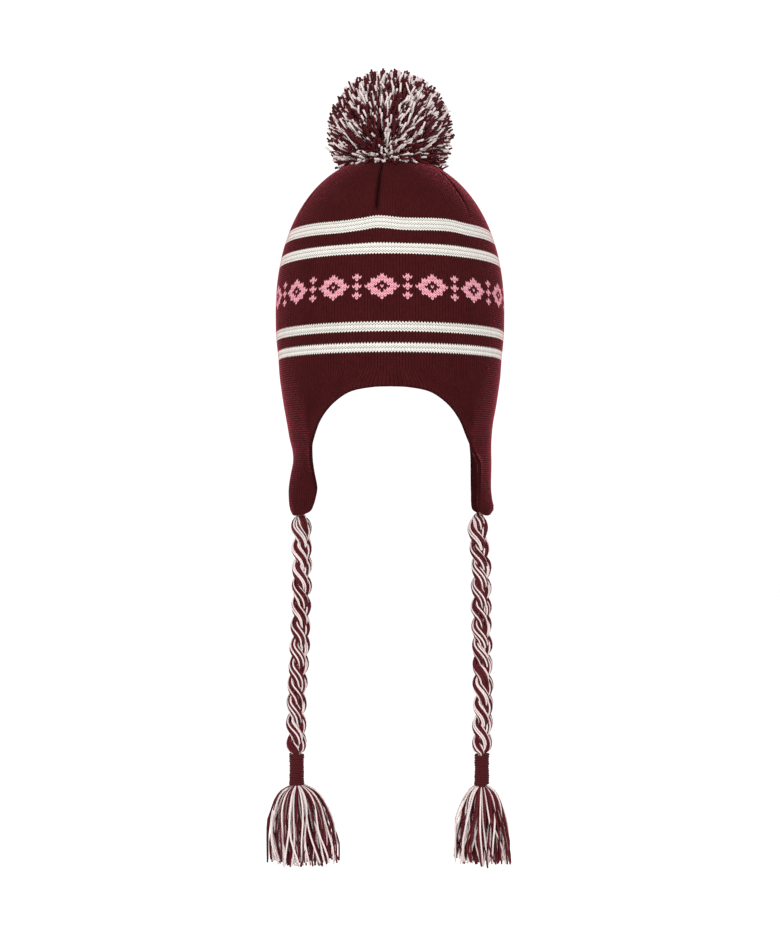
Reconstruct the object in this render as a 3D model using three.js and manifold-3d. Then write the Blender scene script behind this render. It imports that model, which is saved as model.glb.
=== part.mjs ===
// Earflap beanie: a knitted crown with two earflaps, a pompom on top, and a plaited tie
// with a wound wrap and a tassel under each flap.
// Millimetres, +Z up. The face side is -Y and +X is to the right of someone looking at it.
// The origin is the middle of the head opening, level with the brim at the front.
import * as THREE from 'three';
import { mergeVertices } from 'three/addons/utils/BufferGeometryUtils.js';
import Module from 'manifold-3d';

const wasm = await Module();
wasm.setup();

// Crown and brim
const hatWidth = 182; // across the ears, outside, at the widest level
const hatDepth = 206; // front to back, outside, at the widest level
const crownHeight = 187; // front brim edge to the top of the dome
const widestLevel = 61; // front brim edge to the widest level
const backRise = 10; // how much higher the brim is at the back than at the front
const clothThickness = 3.5; // the knitted cloth, with the floats of its pattern inside
const domeFullness = 2.2; // exponent of the dome's section, where 2 is an ellipse

// Darts that draw the crown in
const dartCount = 6;
const dartTurn = -7.5; // degrees from the centre front to the nearest dart
const dartDepth = 1.4;
const dartTop = 0.985; // shares of the crown height between which a dart shows
const dartFoot = 0.7;

// Earflaps
const flapDrop = 99; // front brim edge to the tip of a flap
const skewLevel = 16; // height above the brim where the columns start to lean into the flaps

// Pompom
const pompomDiameter = 101;
const pompomRise = 22; // its centre above the top of the dome
const pompomLocks = 56;
const lockLength = 16; // from the foot of a lock, inside the backing, to its cut end
const lockStand = 7; // how far a lock stands out of the backing
const lockRadius = 10; // at the foot of a lock

// Ties
const braidDiameter = 17.5;
const wrapDiameter = 12.6;
const wrapLength = 26;
const tasselLength = 64.5;
const tasselWidthLeft = 58;
const tasselWidthRight = 45;
const tasselLeanLeft = 5.4; // how far the ends of a tassel hang over to the right
const tasselLeanRight = 0.6;
const tasselLocks = 15;
const tasselLockRadius = 3.6;
const seatGap = 0.3; // between a piece and what carries it

// How finely the shapes are divided
const columns = 96;
const outerCrownRows = 9;
const outerFlapRows = 7;
const innerCrownRows = 6;
const innerFlapRows = 5;

// The skirt of the crown, from the widest level down to the brim.
// level: share of widestLevel. width and depth: shares of half the hat's width and depth.
const skirtSections = [
  { level: 1.0, width: 1.0, depth: 1.0 },
  { level: 0.74, width: 0.996, depth: 0.996 },
  { level: 0.43, width: 0.976, depth: 0.982 },
  { level: 0.2, width: 0.965, depth: 0.968 },
  { level: 0.0, width: 0.947, depth: 0.955 },
];

// The flaps, from the brim down to the tip. drop: share of flapDrop. width: share of half the
// hat's width at the middle of the flap. depth: share of half the hat's depth. The curls say
// how far the front and the back half of a flap turn in, where 1 is a plain ellipse.
const leftFlapSections = [
  { drop: 0.12, width: 0.927, depth: 0.955, frontCurl: 1.0, backCurl: 1.0 },
  { drop: 0.25, width: 0.901, depth: 0.93, frontCurl: 1.0, backCurl: 1.0 },
  { drop: 0.38, width: 0.877, depth: 0.87, frontCurl: 1.0, backCurl: 0.8 },
  { drop: 0.47, width: 0.853, depth: 0.78, frontCurl: 0.9, backCurl: 0.65 },
  { drop: 0.56, width: 0.849, depth: 0.68, frontCurl: 0.88, backCurl: 0.6 },
  { drop: 0.66, width: 0.871, depth: 0.58, frontCurl: 1.08, backCurl: 0.7 },
  { drop: 0.77, width: 0.889, depth: 0.5, frontCurl: 1.28, backCurl: 0.8 },
  { drop: 0.86, width: 0.889, depth: 0.42, frontCurl: 1.25, backCurl: 0.9 },
  { drop: 0.94, width: 0.879, depth: 0.36, frontCurl: 1.25, backCurl: 1.0 },
  { drop: 1.0, width: 0.85, depth: 0.32, frontCurl: 1.4, backCurl: 1.2 },
];
const rightFlapSections = [
  { drop: 0.12, width: 0.927, depth: 0.955, frontCurl: 1.0, backCurl: 1.0 },
  { drop: 0.25, width: 0.901, depth: 0.93, frontCurl: 1.0, backCurl: 1.0 },
  { drop: 0.38, width: 0.888, depth: 0.87, frontCurl: 1.0, backCurl: 0.82 },
  { drop: 0.47, width: 0.886, depth: 0.78, frontCurl: 0.86, backCurl: 0.76 },
  { drop: 0.56, width: 0.888, depth: 0.68, frontCurl: 0.6, backCurl: 0.76 },
  { drop: 0.66, width: 0.887, depth: 0.58, frontCurl: 0.55, backCurl: 0.76 },
  { drop: 0.77, width: 0.886, depth: 0.5, frontCurl: 0.55, backCurl: 0.76 },
  { drop: 0.86, width: 0.897, depth: 0.42, frontCurl: 0.65, backCurl: 0.85 },
  { drop: 0.94, width: 0.912, depth: 0.36, frontCurl: 0.85, backCurl: 1.1 },
  { drop: 1.0, width: 0.87, depth: 0.32, frontCurl: 1.0, backCurl: 1.3 },
];

// The cut edge from the centre of the brim to the tip of a flap. drop: share of flapDrop.
// frontTurn and backTurn: degrees round from the centre front and from the centre back.
const edgeRows = [
  { drop: 0.0, frontTurn: 0, backTurn: 0 },
  { drop: 0.005, frontTurn: 9, backTurn: 11 },
  { drop: 0.035, frontTurn: 20.5, backTurn: 25 },
  { drop: 0.095, frontTurn: 28.3, backTurn: 34 },
  { drop: 0.21, frontTurn: 38.3, backTurn: 45 },
  { drop: 0.33, frontTurn: 45.9, backTurn: 51.5 },
  { drop: 0.45, frontTurn: 51, backTurn: 55.5 },
  { drop: 0.58, frontTurn: 51.5, backTurn: 55.5 },
  { drop: 0.72, frontTurn: 51.5, backTurn: 54 },
  { drop: 0.86, frontTurn: 52, backTurn: 53 },
  { drop: 0.94, frontTurn: 55, backTurn: 55 },
  { drop: 0.988, frontTurn: 66, backTurn: 66 },
  { drop: 1.0, frontTurn: 90, backTurn: 90 },
];

// The routes of the two ties, from the tip of each flap: [right, back, up] in millimetres.
const leftRoute = [
  [4.8, 0, 0], [4.8, -0.3, -13.5], [5.1, -0.6, -27], [5.2, -0.8, -40.5], [5.1, -0.9, -54],
  [4.9, -0.8, -67.5], [4.4, -0.6, -81], [3.8, -0.3, -94.5], [3.1, 0, -108], [2.4, 0.3, -121.5],
  [1.7, 0.5, -135], [1.1, 0.6, -148.5], [0.6, 0.6, -162], [0.6, 0.5, -175.5], [1.0, 0.4, -189],
];
const rightRoute = [
  [-7.2, 0, 0], [-7.0, 0.3, -13.5], [-5.5, 0.6, -27], [-4.4, 0.8, -40.5], [-4.4, 0.8, -54],
  [-4.6, 0.7, -67.5], [-4.4, 0.5, -81], [-4.0, 0.3, -94.5], [-3.6, 0, -108], [-3.3, -0.2, -121.5],
  [-3.2, -0.4, -135], [-3.2, -0.5, -148.5], [-3.4, -0.5, -162], [-3.7, -0.4, -175.5],
  [-4.1, -0.3, -189],
];

// One lock's path in a tassel. down: share of the tassel's length. out: share of its half width.
const lockPath = [
  { down: 0.07, out: 0.14 },
  { down: 0.18, out: 0.44 },
  { down: 0.45, out: 0.84 },
  { down: 0.76, out: 1.0 },
  { down: 1.0, out: 0.92 },
];

const degrees = THREE.MathUtils.degToRad;

// A repeatable value from 0 to 1 for each whole number.
function scatter(n) {
  const wave = Math.sin(n * 12.9898 + 4.1414) * 43758.5453;
  return wave - Math.floor(wave);
}

// Reads one column of a table at a key, on a smooth curve through its rows.
function readTable(rows, keyName, key, columnName) {
  let k = 0;
  while (k < rows.length - 2 && key > rows[k + 1][keyName]) k += 1;
  const before = rows[Math.max(k - 1, 0)];
  const low = rows[k];
  const high = rows[k + 1];
  const after = rows[Math.min(k + 2, rows.length - 1)];
  const span = high[keyName] - low[keyName];
  const t = THREE.MathUtils.clamp((key - low[keyName]) / span, 0, 1);
  const slope = (a, b) => (b[columnName] - a[columnName]) / (b[keyName] - a[keyName]) * span;
  const m0 = slope(before, high);
  const m1 = slope(low, after);
  const t2 = t * t;
  const t3 = t2 * t;
  return (2 * t3 - 3 * t2 + 1) * low[columnName] + (t3 - 2 * t2 + t) * m0
    + (3 * t2 - 2 * t3) * high[columnName] + (t3 - t2) * m1;
}

// One table from the widest level down to a flap's tip, keyed by millimetres below that level.
function sideTable(flapSections) {
  const skirt = skirtSections.map((row) => ({
    down: widestLevel * (1 - row.level), width: row.width, depth: row.depth, frontCurl: 1, backCurl: 1,
  }));
  const flap = flapSections.map((row) => ({ ...row, down: widestLevel + flapDrop * row.drop }));
  return [...skirt, ...flap];
}
const leftTable = sideTable(leftFlapSections);
const rightTable = sideTable(rightFlapSections);

// How deep the darts draw the cloth in, at a turn in degrees from the centre front and a height.
function dartFold(turn, z) {
  const spacing = 360 / dartCount;
  const away = Math.abs(THREE.MathUtils.euclideanModulo(turn - dartTurn + spacing / 2, spacing) - spacing / 2);
  const across = Math.max(0, 1 - away / (spacing / 12));
  const share = z / crownHeight;
  const along = THREE.MathUtils.smoothstep(share, dartFoot, 0.5 * (dartFoot + dartTop))
    * (1 - THREE.MathUtils.smoothstep(share, dartTop, 1));
  return dartDepth * across * along;
}

// A point of the hat's outer surface: turn in degrees from the centre front towards +X, height z.
function surfacePoint(turn, z) {
  const angle = degrees(turn);
  const side = Math.sin(angle);
  const ahead = Math.cos(angle);
  if (z >= widestLevel) {
    const rise = Math.min((z - widestLevel) / (crownHeight - widestLevel), 1);
    const shrink = Math.pow(1 - Math.pow(rise, domeFullness), 1 / domeFullness);
    const reach = Math.max(shrink - dartFold(turn, z) / (hatWidth / 2), 0);
    return new THREE.Vector3(hatWidth / 2 * reach * side, -hatDepth / 2 * reach * ahead, z);
  }
  const table = side < 0 ? leftTable : rightTable;
  const down = widestLevel - z;
  const read = (columnName) => readTable(table, 'down', down, columnName);
  const curl = ahead > 0 ? read('frontCurl') : read('backCurl');
  const inward = curl * (1 - Math.abs(side));
  const width = hatWidth / 2 * read('width') * (1 - inward);
  const depth = hatDepth / 2 * read('depth');
  return new THREE.Vector3(Math.sign(side) * width, -depth * ahead, z);
}

// The outward direction of the surface.
function surfaceNormal(turn, z) {
  if (z > crownHeight - 0.01) return new THREE.Vector3(0, 0, 1);
  const step = 0.4;
  const above = Math.min(z + step, crownHeight);
  const round = surfacePoint(turn + step, z).sub(surfacePoint(turn - step, z));
  const up = surfacePoint(turn, above).sub(surfacePoint(turn, z - step));
  return round.cross(up).normalize();
}

// The cut edge as a curve of (turn, z) for one quarter of the hat, from the brim to the tip.
function edgeCurve(atBack) {
  const points = edgeRows.map((row) => {
    const rise = atBack ? backRise * (1 - row.drop) : 0;
    const turn = atBack ? row.backTurn : row.frontTurn;
    return new THREE.Vector3(degrees(turn) * hatWidth / 2, rise - flapDrop * row.drop, 0);
  });
  return new THREE.CatmullRomCurve3(points, false, 'centripetal');
}
const frontEdge = edgeCurve(false);
const backEdge = edgeCurve(true);

// Where the column that starts at a turn on the crown ends on the cut edge.
function edgePlace(turn) {
  const wrapped = THREE.MathUtils.euclideanModulo(turn + 180, 360) - 180;
  const onRight = wrapped >= 0 ? 1 : -1;
  const away = Math.abs(wrapped);
  const atBack = away > 90;
  const share = atBack ? (180 - away) / 90 : away / 90;
  const place = (atBack ? backEdge : frontEdge).getPointAt(share);
  const edgeTurn = THREE.MathUtils.radToDeg(place.x / (hatWidth / 2));
  return { turn: onRight * (atBack ? 180 - edgeTurn : edgeTurn), z: place.y };
}

// The places down one column, from the top of the dome to the cut edge.
function columnPlaces(turn, crownRows, flapRows) {
  const edge = edgePlace(turn);
  const start = THREE.MathUtils.euclideanModulo(turn + 180, 360) - 180;
  const lean = THREE.MathUtils.euclideanModulo(edge.turn - start + 180, 360) - 180;
  const places = [];
  for (let k = 0; k <= crownRows; k += 1) {
    const share = Math.cos(degrees(90 * k / crownRows));
    places.push({ turn: start, z: THREE.MathUtils.lerp(skewLevel, crownHeight, share) });
  }
  for (let k = 1; k <= flapRows; k += 1) {
    const share = k / flapRows;
    const eased = share * share * (3 - 2 * share);
    places.push({
      turn: start + lean * eased,
      z: THREE.MathUtils.lerp(skewLevel, edge.z, share),
    });
  }
  return places;
}

// One column of the cloth: down the outside, round the cut edge and up the inside.
function clothColumn(turn) {
  const outer = columnPlaces(turn, outerCrownRows, outerFlapRows);
  const inner = columnPlaces(turn, innerCrownRows, innerFlapRows);
  const sink = (place, depth) => surfacePoint(place.turn, place.z)
    .addScaledVector(surfaceNormal(place.turn, place.z), -depth);
  const edge = outer.at(-1);
  const aboveEdge = outer.at(-2);
  const middle = sink(edge, clothThickness / 2);
  const along = sink(aboveEdge, clothThickness / 2).sub(middle).normalize();
  const pullBack = clothThickness * 0.4;
  const points = outer.map((place) => sink(place, 0));
  points[points.length - 1].addScaledVector(along, pullBack);
  points.push(middle);
  const inside = inner.map((place) => sink(place, clothThickness)).reverse();
  inside[0].addScaledVector(along, pullBack);
  inside[inside.length - 1].set(0, 0, crownHeight - clothThickness);
  return [...points, ...inside];
}

// A closed body of revolution whose columns are moved to the given columns of points.
function bodyFromColumns(makeColumn) {
  const count = makeColumn(0).length;
  const profile = Array.from({ length: count }, (_, j) => {
    const share = j / (count - 1);
    return new THREE.Vector2(Math.sin(Math.PI * share), Math.cos(Math.PI * share));
  });
  const geometry = new THREE.LatheGeometry(profile, columns);
  const position = geometry.attributes.position;
  for (let i = 0; i <= columns; i += 1) {
    makeColumn(-360 * (i % columns) / columns).forEach((point, j) => {
      position.setXYZ(i * count + j, point.x, point.y, point.z);
    });
  }
  return merged(geometry);
}

// Keeps position alone and joins the vertices that lie together.
function merged(geometry) {
  const plain = geometry.index ? geometry : geometry.clone();
  plain.deleteAttribute('normal');
  plain.deleteAttribute('uv');
  const joined = mergeVertices(plain, 1e-4);
  const index = joined.index.array;
  const kept = [];
  for (let k = 0; k < index.length; k += 3) {
    const [a, b, c] = [index[k], index[k + 1], index[k + 2]];
    if (a !== b && b !== c && c !== a) kept.push(a, b, c);
  }
  joined.setIndex(kept);
  return joined;
}

function toSolid(geometry) {
  const flat = merged(geometry);
  return new wasm.Manifold(new wasm.Mesh({
    numProp: 3,
    vertProperties: new Float32Array(flat.attributes.position.array),
    triVerts: new Uint32Array(flat.index.array),
  }));
}

function toGeometry(solid) {
  const mesh = solid.getMesh();
  const geometry = new THREE.BufferGeometry();
  geometry.setAttribute('position', new THREE.BufferAttribute(mesh.vertProperties, 3));
  geometry.setIndex(new THREE.BufferAttribute(mesh.triVerts, 1));
  return geometry;
}

// A bar with a round section of the given radius along a path.
function barAlong(points, radius, sides, steps) {
  const section = new THREE.Shape();
  for (let k = 0; k < sides; k += 1) {
    const angle = 2 * Math.PI * k / sides;
    const corner = [radius * Math.cos(angle), radius * Math.sin(angle)];
    if (k === 0) section.moveTo(...corner);
    else section.lineTo(...corner);
  }
  section.closePath();
  const path = new THREE.CatmullRomCurve3(points, false, 'centripetal');
  return new THREE.ExtrudeGeometry(section, { steps, extrudePath: path, bevelEnabled: false });
}

// The space over the crown that the pompom keeps clear of.
function crownKeepOut() {
  const footLevel = skewLevel;
  return toSolid(bodyFromColumns((turn) => {
    const places = columnPlaces(turn, outerCrownRows, outerFlapRows).slice(0, outerCrownRows + 1);
    const over = places.map((place) => surfacePoint(place.turn, place.z)
      .addScaledVector(surfaceNormal(place.turn, place.z), seatGap));
    return [...over, new THREE.Vector3(0, 0, footLevel)];
  }));
}

// The pompom: cut yarn as locks that stand out of a round backing, sitting on the crown.
function pompomGeometry() {
  const radius = pompomDiameter / 2;
  const centre = new THREE.Vector3(0, 0, crownHeight + pompomRise);
  const backing = new THREE.IcosahedronGeometry(radius - lockStand, 3);
  backing.translate(centre.x, centre.y, centre.z);
  let ball = toSolid(backing);
  const up = new THREE.Vector3(0, 1, 0);
  const goldenTurn = Math.PI * (3 - Math.sqrt(5));
  for (let k = 0; k < pompomLocks; k += 1) {
    const level = 1 - 2 * (k + 0.5) / pompomLocks;
    const ring = Math.sqrt(1 - level * level);
    const way = new THREE.Vector3(ring * Math.cos(goldenTurn * k), ring * Math.sin(goldenTurn * k), level);
    const reach = radius * (1 - 0.03 * scatter(k));
    const lock = new THREE.CylinderGeometry(lockRadius * 0.72, lockRadius, lockLength, 5);
    lock.applyQuaternion(new THREE.Quaternion().setFromUnitVectors(up, way));
    lock.translate(...way.clone().multiplyScalar(reach - lockLength / 2).add(centre).toArray());
    ball = ball.add(toSolid(lock));
  }
  return toGeometry(ball.subtract(crownKeepOut()));
}

// A tassel hanging from the origin: locks of cut yarn fused to a round head.
function tasselGeometry(width, lean, seed) {
  const headRadius = wrapDiameter / 2 * 0.95;
  const headHeight = tasselLength * 0.2;
  const headProfile = [
    new THREE.Vector2(0, -headHeight),
    new THREE.Vector2(headRadius * 0.9, -headHeight * 0.85),
    new THREE.Vector2(headRadius * 1.15, -headHeight * 0.5),
    new THREE.Vector2(headRadius, 0),
    new THREE.Vector2(0, 0),
  ];
  const head = new THREE.LatheGeometry(headProfile, 12);
  head.rotateX(Math.PI / 2);
  let bundle = toSolid(head);
  for (let k = 0; k < tasselLocks; k += 1) {
    const inner = k % 3 === 2;
    const angle = 2 * Math.PI * (k + 0.5 * scatter(seed + k)) / tasselLocks;
    const spread = (inner ? 0.42 : 1) * (0.92 + 0.14 * scatter(seed + 2 * k));
    const drop = tasselLength * (0.86 + 0.14 * scatter(seed + 3 * k));
    const points = lockPath.map((row) => {
      const out = row.out * spread * (width / 2 - tasselLockRadius);
      const side = out * Math.cos(angle) + lean * row.down;
      return new THREE.Vector3(side, out * Math.sin(angle), -row.down * drop);
    });
    bundle = bundle.add(toSolid(barAlong(points, tasselLockRadius, 5, 4)));
  }
  return toGeometry(bundle);
}

// The yarn wound round the end of a plait, hanging from the origin.
function wrapGeometry() {
  const radius = wrapDiameter / 2;
  const round = 1.2;
  const profile = [
    new THREE.Vector2(0, -wrapLength),
    new THREE.Vector2(radius - round, -wrapLength),
    new THREE.Vector2(radius, round - wrapLength),
    new THREE.Vector2(radius * 0.96, -wrapLength / 2),
    new THREE.Vector2(radius, -round),
    new THREE.Vector2(radius - round, 0),
    new THREE.Vector2(0, 0),
  ];
  const geometry = new THREE.LatheGeometry(profile, 16);
  geometry.rotateX(Math.PI / 2);
  return merged(geometry);
}

// A material for each kind of yarn
const burgundyKnit = new THREE.MeshStandardMaterial({ color: 0x4e1d1d, roughness: 0.95, metalness: 0 });
const mixedYarn = new THREE.MeshStandardMaterial({ color: 0x9a7a78, roughness: 0.95, metalness: 0 });
const burgundyYarn = new THREE.MeshStandardMaterial({ color: 0x491d1e, roughness: 0.95, metalness: 0 });

function piece(name, geometry, material) {
  geometry.computeVertexNormals();
  const mesh = new THREE.Mesh(geometry, material);
  mesh.name = name;
  return mesh;
}

// The middle of the cloth at the tip of a flap.
function flapTip(turn) {
  const edge = edgePlace(turn);
  return surfacePoint(edge.turn, edge.z)
    .addScaledVector(surfaceNormal(edge.turn, edge.z), -clothThickness / 2);
}

// A tie under one flap: plait, wrap and tassel, hung one under the other.
function tie(side, turn, route, tasselWidth, lean, seed) {
  const group = new THREE.Group();
  group.position.copy(flapTip(turn)).add(new THREE.Vector3(0, 0, -seatGap));
  const points = route.map((row) => new THREE.Vector3(...row));
  group.add(piece(`braid_${side}`, merged(barAlong(points, braidDiameter / 2, 10, 9)), mixedYarn));
  const wrap = piece(`wrap_${side}`, wrapGeometry(), burgundyYarn);
  wrap.position.copy(points.at(-1)).add(new THREE.Vector3(0, 0, -seatGap));
  group.add(wrap);
  const tassel = piece(`tassel_${side}`, tasselGeometry(tasselWidth, lean, seed), mixedYarn);
  tassel.position.copy(wrap.position).add(new THREE.Vector3(0, 0, -wrapLength - seatGap));
  group.add(tassel);
  return group;
}

const hat = new THREE.Group();
hat.add(piece('knit_body', bodyFromColumns(clothColumn), burgundyKnit));
hat.add(piece('pompom', pompomGeometry(), mixedYarn));
hat.add(tie('left', -90, leftRoute, tasselWidthLeft, tasselLeanLeft, 3));
hat.add(tie('right', 90, rightRoute, tasselWidthRight, tasselLeanRight, 41));

export default hat;
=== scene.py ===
import math

import bmesh
import bpy
import numpy as np
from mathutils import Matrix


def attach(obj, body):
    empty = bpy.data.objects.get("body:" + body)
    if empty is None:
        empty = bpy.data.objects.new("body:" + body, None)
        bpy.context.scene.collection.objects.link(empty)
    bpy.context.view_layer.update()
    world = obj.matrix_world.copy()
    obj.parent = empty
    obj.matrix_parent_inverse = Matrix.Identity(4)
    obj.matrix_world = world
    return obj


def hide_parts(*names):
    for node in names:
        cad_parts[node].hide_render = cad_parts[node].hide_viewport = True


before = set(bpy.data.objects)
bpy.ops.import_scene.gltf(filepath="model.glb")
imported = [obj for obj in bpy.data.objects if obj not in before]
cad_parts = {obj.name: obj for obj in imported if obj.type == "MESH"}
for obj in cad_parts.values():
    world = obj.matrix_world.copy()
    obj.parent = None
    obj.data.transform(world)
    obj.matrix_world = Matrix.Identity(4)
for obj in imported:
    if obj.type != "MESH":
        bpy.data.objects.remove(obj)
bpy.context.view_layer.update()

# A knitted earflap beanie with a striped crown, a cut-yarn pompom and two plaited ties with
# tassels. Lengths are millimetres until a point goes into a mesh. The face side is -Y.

MM = 0.001
GOLDEN_ANGLE = math.pi * (3 - math.sqrt(5))

# Sizes of the hat, which the solids have too

HAT_WIDTH = 182.0
HAT_DEPTH = 206.0
CROWN_HEIGHT = 187.0
WIDEST_LEVEL = 61.0
BACK_RISE = 10.0
CLOTH_THICKNESS = 3.5
DOME_FULLNESS = 2.2
FLAP_DROP = 99.0
SKEW_LEVEL = 16.0
DART_COUNT = 6
DART_TURN = -7.5
DART_DEPTH = 1.9
DART_HALF_WIDTH = 1.9  # degrees
DART_TOP = 0.985  # shares of the crown's height between which a dart shows
DART_FOOT = 0.7
DART_FULL = 0.5 * (DART_FOOT + DART_TOP)  # where it has its whole depth
DART_SHADE_FULL = DART_FOOT + 0.03  # where its painted shade is as dark as it gets
SEAT_GAP = 0.3

POMPOM_RADIUS = 50.5
POMPOM_CENTRE = np.array([0.0, 0.0, 209.0])

WRAP_LENGTH = 26.0
WRAP_RADIUS = 6.3
TASSEL_LENGTH = 64.5

# The skirt of the crown: share of the widest level, then shares of half the width and depth
SKIRT_SECTIONS = [
    (1.0, 1.0, 1.0), (0.74, 0.996, 0.996), (0.43, 0.976, 0.982), (0.2, 0.965, 0.968),
    (0.0, 0.947, 0.955),
]

# The flaps: share of the flap's drop, shares of half the width and depth, front and back curl
LEFT_FLAP_SECTIONS = [
    (0.12, 0.927, 0.955, 1.0, 1.0), (0.25, 0.901, 0.93, 1.0, 1.0), (0.38, 0.877, 0.87, 1.0, 0.8),
    (0.47, 0.853, 0.78, 0.9, 0.65), (0.56, 0.849, 0.68, 0.88, 0.6), (0.66, 0.871, 0.58, 1.08, 0.7),
    (0.77, 0.889, 0.5, 1.28, 0.8), (0.86, 0.889, 0.42, 1.25, 0.9), (0.94, 0.879, 0.36, 1.25, 1.0),
    (1.0, 0.85, 0.32, 1.4, 1.2),
]
RIGHT_FLAP_SECTIONS = [
    (0.12, 0.927, 0.955, 1.0, 1.0), (0.25, 0.901, 0.93, 1.0, 1.0), (0.38, 0.888, 0.87, 1.0, 0.82),
    (0.47, 0.886, 0.78, 0.86, 0.76), (0.56, 0.888, 0.68, 0.6, 0.76), (0.66, 0.887, 0.58, 0.55, 0.76),
    (0.77, 0.886, 0.5, 0.55, 0.76), (0.86, 0.897, 0.42, 0.65, 0.85), (0.94, 0.912, 0.36, 0.85, 1.1),
    (1.0, 0.87, 0.32, 1.0, 1.3),
]

# The cut edge from the middle of the brim to a flap's tip: share of the drop, then degrees
# round from the centre front and from the centre back
EDGE_ROWS = [
    (0.0, 0, 0), (0.005, 9, 11), (0.035, 20.5, 25), (0.095, 28.3, 34), (0.21, 38.3, 45),
    (0.33, 45.9, 51.5), (0.45, 51, 55.5), (0.58, 51.5, 55.5), (0.72, 51.5, 54), (0.86, 52, 53),
    (0.94, 55, 55), (0.988, 66, 66), (1.0, 90, 90),
]

# The routes of the two ties, from the tip of each flap: right, back, up
LEFT_ROUTE = [
    (4.8, 0, 0), (4.8, -0.3, -13.5), (5.1, -0.6, -27), (5.2, -0.8, -40.5), (5.1, -0.9, -54),
    (4.9, -0.8, -67.5), (4.4, -0.6, -81), (3.8, -0.3, -94.5), (3.1, 0, -108), (2.4, 0.3, -121.5),
    (1.7, 0.5, -135), (1.1, 0.6, -148.5), (0.6, 0.6, -162), (0.6, 0.5, -175.5), (1.0, 0.4, -189),
]
RIGHT_ROUTE = [
    (-7.2, 0, 0), (-7.0, 0.3, -13.5), (-5.5, 0.6, -27), (-4.4, 0.8, -40.5), (-4.4, 0.8, -54),
    (-4.6, 0.7, -67.5), (-4.4, 0.5, -81), (-4.0, 0.3, -94.5), (-3.6, 0, -108), (-3.3, -0.2, -121.5),
    (-3.2, -0.4, -135), (-3.2, -0.5, -148.5), (-3.4, -0.5, -162), (-3.7, -0.4, -175.5),
    (-4.1, -0.3, -189),
]

# Gauge of the knitting and thickness of the yarns
WALES = 240  # columns of stitches round the hat, 2.5 mm each at its widest
COURSE = 1.7  # height of one row of stitches
LEG_SLANT = 0.85  # how far the two legs of a stitch fall to its middle, in courses
PLY_PITCH = 6.0  # length in which a yarn's three plies turn round once

# White stripes and the band of figures: lowest and highest level on the crown
STRIPES = [(118.6, 128.6), (98.8, 107.3), (41.6, 48.4), (26.6, 33.4)]
BAND_FOOT = 64.5

# The courses at the top stripe sag between the darts. The levels say where the sag starts, from
# where to where it is full, and where it ends. The table gives turns from the centre front and
# how far the courses fall there
SAG_LEVELS = (100.0, 120.0, 128.0, 145.0)
SAG = np.array([
    (-180, 1.5), (-128, 1.5), (-110, 1.5), (-70, 1.6), (-45, 2.2), (-26, 2.8), (-14, 1.4),
    (-7.5, 0), (-2, 0.4), (6, 1.6), (14, 1.6), (25, 0.9), (34, 0.8), (45, 2.0), (60, 2.0),
    (110, 1.5), (180, 1.5),
])

# One repeat of the band: an eight-pointed star and three small lozenges, a traditional chart
BAND_CHART = [
    ".....#.......#..",
    "....###.....###.",
    "..#######....#..",
    "..###.###.......",
    ".###...###...#..",
    "###..#..###.###.",
    ".###...###...#..",
    "..###.###.......",
    "..#######....#..",
    "....###.....###.",
    ".....#.......#..",
]


def linear(hex_colour):
    """An sRGB hex colour as linear red, green, blue and an alpha of 1."""
    shares = [int(hex_colour[k:k + 2], 16) / 255 for k in (1, 3, 5)]
    return [s / 12.92 if s <= 0.04045 else ((s + 0.055) / 1.055) ** 2.4 for s in shares] + [1.0]


BURGUNDY = linear("#401517")
YARN_BURGUNDY = linear("#4c1a1d")
OFF_WHITE = linear("#dedbd4")
PINK = linear("#e29ba8")
YARN_WHITE = linear("#e0d2d0")  # brushed by the burgundy fibres beside it
TIE_BURGUNDY = linear("#5a1f24")
TIE_WHITE = linear("#e8d8d6")

# Camera

CAMERA_PLACE = (0, -1.28, -0.0602)  # metres, level with the middle of the hanging hat
CAMERA_LENS = 61.54  # makes a pixel of the picture 0.8 mm of the hat


def set_up_camera():
    seen = bpy.data.cameras.new("camera")
    seen.sensor_width = 36
    seen.lens = CAMERA_LENS
    camera = bpy.data.objects.new("camera", seen)
    camera.location = CAMERA_PLACE
    camera.rotation_euler = (math.radians(90), 0, 0)
    bpy.context.scene.collection.objects.link(camera)
    bpy.context.scene.camera = camera


# The shape of the cloth


def side_table(flap_sections):
    """One table from the widest level down to a flap's tip: distance below that level first."""
    skirt = [
        (WIDEST_LEVEL * (1 - level), width, depth, 1.0, 1.0) for level, width, depth in SKIRT_SECTIONS
    ]
    flap = [(WIDEST_LEVEL + FLAP_DROP * drop, *rest) for drop, *rest in flap_sections]
    return np.array(skirt + flap)


def smooth_read(table, keys, column):
    """One column of a table at many keys, on a smooth curve through its rows."""
    at = table[:, 0]
    values = table[:, column]
    last = len(at) - 1
    after = np.minimum(np.arange(len(at)) + 1, last)
    before = np.maximum(np.arange(len(at)) - 1, 0)
    slopes = (values[after] - values[before]) / (at[after] - at[before])
    k = np.clip(np.searchsorted(at, keys) - 1, 0, last - 1)
    span = at[k + 1] - at[k]
    t = np.clip((keys - at[k]) / span, 0, 1)
    rise = t * t * (3 - 2 * t)
    return (
        values[k] * (1 - rise) + values[k + 1] * rise
        + slopes[k] * span * t * (1 - t) ** 2 - slopes[k + 1] * span * t * t * (1 - t)
    )


def smoothstep(values, low, high):
    t = np.clip((values - low) / (high - low), 0, 1)
    return t * t * (3 - 2 * t)


LEFT_TABLE = side_table(LEFT_FLAP_SECTIONS)
RIGHT_TABLE = side_table(RIGHT_FLAP_SECTIONS)


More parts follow.
